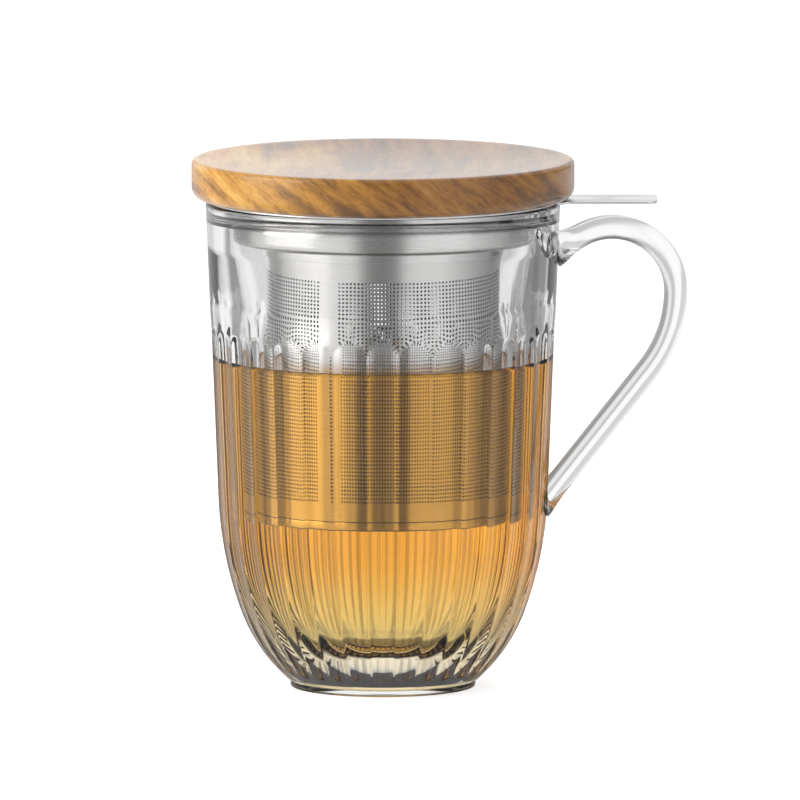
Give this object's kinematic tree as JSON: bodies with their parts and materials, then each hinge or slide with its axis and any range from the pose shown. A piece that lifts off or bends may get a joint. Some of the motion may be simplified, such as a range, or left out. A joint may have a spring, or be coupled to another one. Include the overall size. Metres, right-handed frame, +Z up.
{
  "type": "lidded tea mug with infuser",
  "caption": "Fluted glass tea mug with a hooked handle, a lift-out steel infuser with a thumb tab, and a loose dished wooden lid.",
  "frame": {"origin": "centre of the foot ring on the table, on the mug's axis", "axes": "+Z up along the mug's axis, +X towards the handle and the infuser's tab, the picture looks along +Y"},
  "size_m": [0.1198, 0.0922, 0.1278],
  "materials": {
    "glass": "clear, fire-polished",
    "steel": "brushed round the axis",
    "filter": "finely perforated sheet",
    "wood": "oiled",
    "silicone": "matt"
  },
  "bodies": {
    "mug": {"mug_body": "glass", "mug_handle": "glass"},
    "infuser": {"infuser_head": "steel", "filter_tube": "filter", "filter_cap": "steel"},
    "lid": {"lid_disc": "wood", "lid_seal": "silicone"}
  },
  "joints": [
    {"name": "infuser_lift", "type": "slide", "parent": "mug", "child": "infuser", "axis": [0, 0, 1], "range_m": [0, 0.09]},
    {"name": "lid_lift", "type": "slide", "parent": "infuser", "child": "lid", "axis": [0, 0, 1], "range_m": [0, 0.04]}
  ]
}
